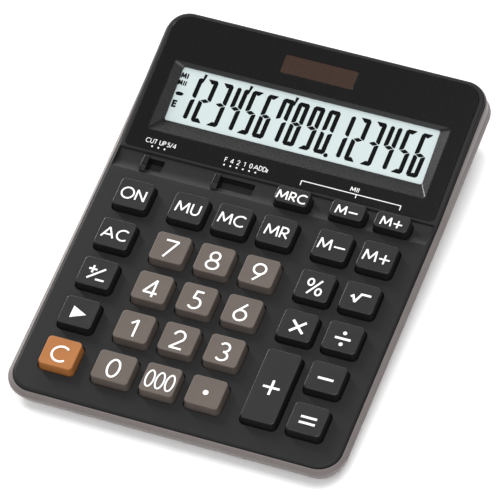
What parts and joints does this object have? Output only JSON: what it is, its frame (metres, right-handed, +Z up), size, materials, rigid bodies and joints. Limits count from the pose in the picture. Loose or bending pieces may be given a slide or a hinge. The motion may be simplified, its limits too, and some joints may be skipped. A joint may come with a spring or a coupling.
{
  "type": "desk calculator",
  "caption": "Desk calculator with a tilted display head, solar cell, sloping key deck, trough with slide switches, and a boat-shaped lower case on rubber feet.",
  "frame": {"origin": "middle of the case seen from above, on the plane the feet rest on", "axes": "+X to the user's right, +Y from the front edge to the display head, +Z up"},
  "size_m": [0.155, 0.207, 0.0345],
  "materials": {
    "case_grey": "fine grained, warm grey",
    "case_black": "fine grained, near black",
    "panel_black": "semi-gloss, near black",
    "solar_window": "clear brown plastic over the cell",
    "cell": "amorphous silicon, dark brown",
    "display_glass": "pale liquid crystal display",
    "rubber_black": "matte",
    "circuit_board": "green laminate",
    "chip": "moulded resin",
    "silicone": "translucent silicone",
    "ribbon": "flat flexible cable",
    "switch_black": "satin",
    "steel": "nickel-plated",
    "key_orange": "satin",
    "key_grey": "satin",
    "key_black": "satin"
  },
  "bodies": {
    "case": {"lower_case": "case_grey", "upper_case": "case_black", "display_panel": "panel_black", "solar_window": "solar_window", "solar_cell": "cell", "lcd_glass": "display_glass", "lcd_holder": "case_black", "lcd_connector": "rubber_black", "key_board": "circuit_board", "display_board": "circuit_board", "cpu_chip": "chip", "key_mat": "silicone", "ribbon_cable": "ribbon", "switch_body_rounding": "switch_black", "switch_body_decimal": "switch_black", "battery_cell": "steel", "battery_door": "case_grey", "battery_contact_side": "steel", "battery_contact_top": "steel", "battery_door_screw": "steel", "case_screw_left": "steel", "case_screw_right": "steel", "foot_front_left": "rubber_black", "foot_front_right": "rubber_black", "foot_rear_left": "rubber_black", "foot_rear_right": "rubber_black"},
    "key_clear": {"key_clear": "key_orange"},
    "key_0": {"key_0": "key_grey"},
    "key_000": {"key_000": "key_grey"},
    "key_point": {"key_point": "key_grey"},
    "key_equals": {"key_equals": "key_black"},
    "key_back": {"key_back": "key_black"},
    "key_1": {"key_1": "key_grey"},
    "key_2": {"key_2": "key_grey"},
    "key_3": {"key_3": "key_grey"},
    "key_subtract": {"key_subtract": "key_black"},
    "key_sign": {"key_sign": "key_black"},
    "key_4": {"key_4": "key_grey"},
    "key_5": {"key_5": "key_grey"},
    "key_6": {"key_6": "key_grey"},
    "key_multiply": {"key_multiply": "key_black"},
    "key_divide": {"key_divide": "key_black"},
    "key_ac": {"key_ac": "key_black"},
    "key_7": {"key_7": "key_grey"},
    "key_8": {"key_8": "key_grey"},
    "key_9": {"key_9": "key_grey"},
    "key_percent": {"key_percent": "key_black"},
    "key_root": {"key_root": "key_black"},
    "key_on": {"key_on": "key_black"},
    "key_mu": {"key_mu": "key_black"},
    "key_mc": {"key_mc": "key_black"},
    "key_mr": {"key_mr": "key_black"},
    "key_m_minus": {"key_m_minus": "key_black"},
    "key_m_plus": {"key_m_plus": "key_black"},
    "key_add": {"key_add": "key_black"},
    "key_mrc": {"key_mrc": "key_black"},
    "key_mii_minus": {"key_mii_minus": "key_black"},
    "key_mii_plus": {"key_mii_plus": "key_black"},
    "switch_knob_rounding": {"switch_knob_rounding": "switch_black"},
    "switch_knob_decimal": {"switch_knob_decimal": "switch_black"}
  },
  "joints": [
    {"name": "press_clear", "type": "slide", "parent": "case", "child": "key_clear", "axis": [0, 0.0698, -0.9976], "range_m": [0, 0.0022], "stiffness_N_per_m": 300, "springref_m": -0.0005},
    {"name": "press_0", "type": "slide", "parent": "case", "child": "key_0", "axis": [0, 0.0698, -0.9976], "range_m": [0, 0.0022], "stiffness_N_per_m": 300, "springref_m": -0.0005},
    {"name": "press_000", "type": "slide", "parent": "case", "child": "key_000", "axis": [0, 0.0698, -0.9976], "range_m": [0, 0.0022], "stiffness_N_per_m": 300, "springref_m": -0.0005},
    {"name": "press_point", "type": "slide", "parent": "case", "child": "key_point", "axis": [0, 0.0698, -0.9976], "range_m": [0, 0.0022], "stiffness_N_per_m": 300, "springref_m": -0.0005},
    {"name": "press_equals", "type": "slide", "parent": "case", "child": "key_equals", "axis": [0, 0.0698, -0.9976], "range_m": [0, 0.0022], "stiffness_N_per_m": 300, "springref_m": -0.0005},
    {"name": "press_back", "type": "slide", "parent": "case", "child": "key_back", "axis": [0, 0.0698, -0.9976], "range_m": [0, 0.0022], "stiffness_N_per_m": 300, "springref_m": -0.0005},
    {"name": "press_1", "type": "slide", "parent": "case", "child": "key_1", "axis": [0, 0.0698, -0.9976], "range_m": [0, 0.0022], "stiffness_N_per_m": 300, "springref_m": -0.0005},
    {"name": "press_2", "type": "slide", "parent": "case", "child": "key_2", "axis": [0, 0.0698, -0.9976], "range_m": [0, 0.0022], "stiffness_N_per_m": 300, "springref_m": -0.0005},
    {"name": "press_3", "type": "slide", "parent": "case", "child": "key_3", "axis": [0, 0.0698, -0.9976], "range_m": [0, 0.0022], "stiffness_N_per_m": 300, "springref_m": -0.0005},
    {"name": "press_subtract", "type": "slide", "parent": "case", "child": "key_subtract", "axis": [0, 0.0698, -0.9976], "range_m": [0, 0.0022], "stiffness_N_per_m": 300, "springref_m": -0.0005},
    {"name": "press_sign", "type": "slide", "parent": "case", "child": "key_sign", "axis": [0, 0.0698, -0.9976], "range_m": [0, 0.0022], "stiffness_N_per_m": 300, "springref_m": -0.0005},
    {"name": "press_4", "type": "slide", "parent": "case", "child": "key_4", "axis": [0, 0.0698, -0.9976], "range_m": [0, 0.0022], "stiffness_N_per_m": 300, "springref_m": -0.0005},
    {"name": "press_5", "type": "slide", "parent": "case", "child": "key_5", "axis": [0, 0.0698, -0.9976], "range_m": [0, 0.0022], "stiffness_N_per_m": 300, "springref_m": -0.0005},
    {"name": "press_6", "type": "slide", "parent": "case", "child": "key_6", "axis": [0, 0.0698, -0.9976], "range_m": [0, 0.0022], "stiffness_N_per_m": 300, "springref_m": -0.0005},
    {"name": "press_multiply", "type": "slide", "parent": "case", "child": "key_multiply", "axis": [0, 0.0698, -0.9976], "range_m": [0, 0.0022], "stiffness_N_per_m": 300, "springref_m": -0.0005},
    {"name": "press_divide", "type": "slide", "parent": "case", "child": "key_divide", "axis": [0, 0.0698, -0.9976], "range_m": [0, 0.0022], "stiffness_N_per_m": 300, "springref_m": -0.0005},
    {"name": "press_ac", "type": "slide", "parent": "case", "child": "key_ac", "axis": [0, 0.0698, -0.9976], "range_m": [0, 0.0022], "stiffness_N_per_m": 300, "springref_m": -0.0005},
    {"name": "press_7", "type": "slide", "parent": "case", "child": "key_7", "axis": [0, 0.0698, -0.9976], "range_m": [0, 0.0022], "stiffness_N_per_m": 300, "springref_m": -0.0005},
    {"name": "press_8", "type": "slide", "parent": "case", "child": "key_8", "axis": [0, 0.0698, -0.9976], "range_m": [0, 0.0022], "stiffness_N_per_m": 300, "springref_m": -0.0005},
    {"name": "press_9", "type": "slide", "parent": "case", "child": "key_9", "axis": [0, 0.0698, -0.9976], "range_m": [0, 0.0022], "stiffness_N_per_m": 300, "springref_m": -0.0005},
    {"name": "press_percent", "type": "slide", "parent": "case", "child": "key_percent", "axis": [0, 0.0698, -0.9976], "range_m": [0, 0.0022], "stiffness_N_per_m": 300, "springref_m": -0.0005},
    {"name": "press_root", "type": "slide", "parent": "case", "child": "key_root", "axis": [0, 0.0698, -0.9976], "range_m": [0, 0.0022], "stiffness_N_per_m": 300, "springref_m": -0.0005},
    {"name": "press_on", "type": "slide", "parent": "case", "child": "key_on", "axis": [0, 0.0698, -0.9976], "range_m": [0, 0.0022], "stiffness_N_per_m": 300, "springref_m": -0.0005},
    {"name": "press_mu", "type": "slide", "parent": "case", "child": "key_mu", "axis": [0, 0.0698, -0.9976], "range_m": [0, 0.0022], "stiffness_N_per_m": 300, "springref_m": -0.0005},
    {"name": "press_mc", "type": "slide", "parent": "case", "child": "key_mc", "axis": [0, 0.0698, -0.9976], "range_m": [0, 0.0022], "stiffness_N_per_m": 300, "springref_m": -0.0005},
    {"name": "press_mr", "type": "slide", "parent": "case", "child": "key_mr", "axis": [0, 0.0698, -0.9976], "range_m": [0, 0.0022], "stiffness_N_per_m": 300, "springref_m": -0.0005},
    {"name": "press_m_minus", "type": "slide", "parent": "case", "child": "key_m_minus", "axis": [0, 0.0698, -0.9976], "range_m": [0, 0.0022], "stiffness_N_per_m": 300, "springref_m": -0.0005},
    {"name": "press_m_plus", "type": "slide", "parent": "case", "child": "key_m_plus", "axis": [0, 0.0698, -0.9976], "range_m": [0, 0.0022], "stiffness_N_per_m": 300, "springref_m": -0.0005},
    {"name": "press_add", "type": "slide", "parent": "case", "child": "key_add", "axis": [0, 0.0698, -0.9976], "range_m": [0, 0.0022], "stiffness_N_per_m": 300, "springref_m": -0.0005},
    {"name": "press_mrc", "type": "slide", "parent": "case", "child": "key_mrc", "axis": [0, 0.0698, -0.9976], "range_m": [0, 0.0022], "stiffness_N_per_m": 300, "springref_m": -0.0005},
    {"name": "press_mii_minus", "type": "slide", "parent": "case", "child": "key_mii_minus", "axis": [0, 0.0698, -0.9976], "range_m": [0, 0.0022], "stiffness_N_per_m": 300, "springref_m": -0.0005},
    {"name": "press_mii_plus", "type": "slide", "parent": "case", "child": "key_mii_plus", "axis": [0, 0.0698, -0.9976], "range_m": [0, 0.0022], "stiffness_N_per_m": 300, "springref_m": -0.0005},
    {"name": "slide_rounding", "type": "slide", "parent": "case", "child": "switch_knob_rounding", "axis": [1, 0, 0], "range_m": [0, 0.00592]},
    {"name": "slide_decimal", "type": "slide", "parent": "case", "child": "switch_knob_decimal", "axis": [1, 0, 0], "range_m": [0, 0.0148]}
  ]
}
